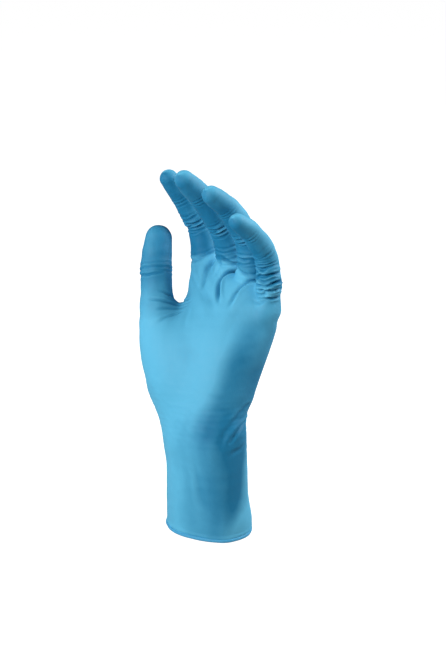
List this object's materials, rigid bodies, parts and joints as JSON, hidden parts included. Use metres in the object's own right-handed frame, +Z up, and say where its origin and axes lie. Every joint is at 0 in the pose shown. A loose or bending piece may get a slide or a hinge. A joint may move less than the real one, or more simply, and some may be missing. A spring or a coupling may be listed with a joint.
{
  "type": "disposable nitrile glove",
  "caption": "Thin blue disposable nitrile glove with an extended cuff and rolled bead, hollow, shaped as worn on a relaxed left hand, bending at wrist, thumb and finger joints.",
  "frame": {"origin": "centre of the cuff's opening, in the plane of the rolled bead's lowest line", "axes": "+Z up the forearm towards the fingers, the palm faces -Y, the thumb is at -X and the little finger at +X"},
  "size_m": [0.0979, 0.081, 0.2265],
  "materials": {
    "nitrile_film": "satin blue nitrile film with a fine texture",
    "cuff_bead": "satin blue nitrile, rolled up on itself"
  },
  "bodies": {
    "cuff": {"cuff": "nitrile_film", "cuff_bead": "cuff_bead"},
    "hand": {"hand": "nitrile_film"},
    "thumb_proximal": {"thumb_proximal": "nitrile_film"},
    "thumb_tip": {"thumb_tip": "nitrile_film"},
    "index_proximal": {"index_proximal": "nitrile_film"},
    "index_middle": {"index_middle": "nitrile_film"},
    "index_tip": {"index_tip": "nitrile_film"},
    "middle_proximal": {"middle_proximal": "nitrile_film"},
    "middle_middle": {"middle_middle": "nitrile_film"},
    "middle_tip": {"middle_tip": "nitrile_film"},
    "ring_proximal": {"ring_proximal": "nitrile_film"},
    "ring_middle": {"ring_middle": "nitrile_film"},
    "ring_tip": {"ring_tip": "nitrile_film"},
    "little_proximal": {"little_proximal": "nitrile_film"},
    "little_middle": {"little_middle": "nitrile_film"},
    "little_tip": {"little_tip": "nitrile_film"}
  },
  "joints": [
    {"name": "wrist_bend", "type": "hinge", "parent": "cuff", "child": "hand", "pos_m": [0, 0, 0.0723], "axis": [0.9942, 0, 0.108], "range_deg": [-15, 27]},
    {"name": "thumb_base_bend", "type": "hinge", "parent": "hand", "child": "thumb_proximal", "pos_m": [-0.04207, 0.00527, 0.13728], "axis": [0.2282, -0.9234, 0.3087], "range_deg": [-20, 15]},
    {"name": "thumb_tip_bend", "type": "hinge", "parent": "thumb_proximal", "child": "thumb_tip", "pos_m": [-0.05051, 0.01049, 0.15913], "axis": [0.2227, -0.8859, 0.4069], "range_deg": [-30, 20]},
    {"name": "index_base_bend", "type": "hinge", "parent": "hand", "child": "index_proximal", "pos_m": [-0.0374, 0.04228, 0.16167], "axis": [0.9807, 0.0494, 0.1892], "range_deg": [-25, 25]},
    {"name": "index_middle_bend", "type": "hinge", "parent": "index_proximal", "child": "index_middle", "pos_m": [-0.04151, 0.04029, 0.18346], "axis": [0.9807, 0.0494, 0.1892], "range_deg": [-20, 40]},
    {"name": "index_tip_bend", "type": "hinge", "parent": "index_middle", "child": "index_tip", "pos_m": [-0.04468, 0.02994, 0.20261], "axis": [0.9807, 0.0494, 0.1892], "range_deg": [-10, 25]},
    {"name": "middle_base_bend", "type": "hinge", "parent": "hand", "child": "middle_proximal", "pos_m": [-0.0138, 0.04124, 0.16433], "axis": [0.9984, -0.0449, 0.0333], "range_deg": [-25, 25]},
    {"name": "middle_middle_bend", "type": "hinge", "parent": "middle_proximal", "child": "middle_middle", "pos_m": [-0.01486, 0.03431, 0.18685], "axis": [0.9984, -0.0449, 0.0333], "range_deg": [-20, 40]},
    {"name": "middle_tip_bend", "type": "hinge", "parent": "middle_middle", "child": "middle_tip", "pos_m": [-0.01649, 0.01541, 0.21009], "axis": [0.9984, -0.0449, 0.0333], "range_deg": [-10, 25]},
    {"name": "ring_base_bend", "type": "hinge", "parent": "hand", "child": "ring_proximal", "pos_m": [0.00595, 0.03837, 0.16166], "axis": [0.9984, -0.0538, 0.0183], "range_deg": [-25, 25]},
    {"name": "ring_middle_bend", "type": "hinge", "parent": "ring_proximal", "child": "ring_middle", "pos_m": [0.00536, 0.03488, 0.18337], "axis": [0.9984, -0.0538, 0.0183], "range_deg": [-20, 40]},
    {"name": "ring_tip_bend", "type": "hinge", "parent": "ring_middle", "child": "ring_tip", "pos_m": [0.00403, 0.01755, 0.20468], "axis": [0.9984, -0.0538, 0.0183], "range_deg": [-10, 25]},
    {"name": "little_base_bend", "type": "hinge", "parent": "hand", "child": "little_proximal", "pos_m": [0.02365, 0.03331, 0.15646], "axis": [0.9972, -0.0225, 0.0707], "range_deg": [-25, 25]},
    {"name": "little_middle_bend", "type": "hinge", "parent": "little_proximal", "child": "little_middle", "pos_m": [0.02237, 0.0333, 0.17444], "axis": [0.9972, -0.0225, 0.0707], "range_deg": [-20, 40]},
    {"name": "little_tip_bend", "type": "hinge", "parent": "little_middle", "child": "little_tip", "pos_m": [0.0209, 0.02066, 0.19114], "axis": [0.9972, -0.0225, 0.0707], "range_deg": [-10, 25]}
  ]
}
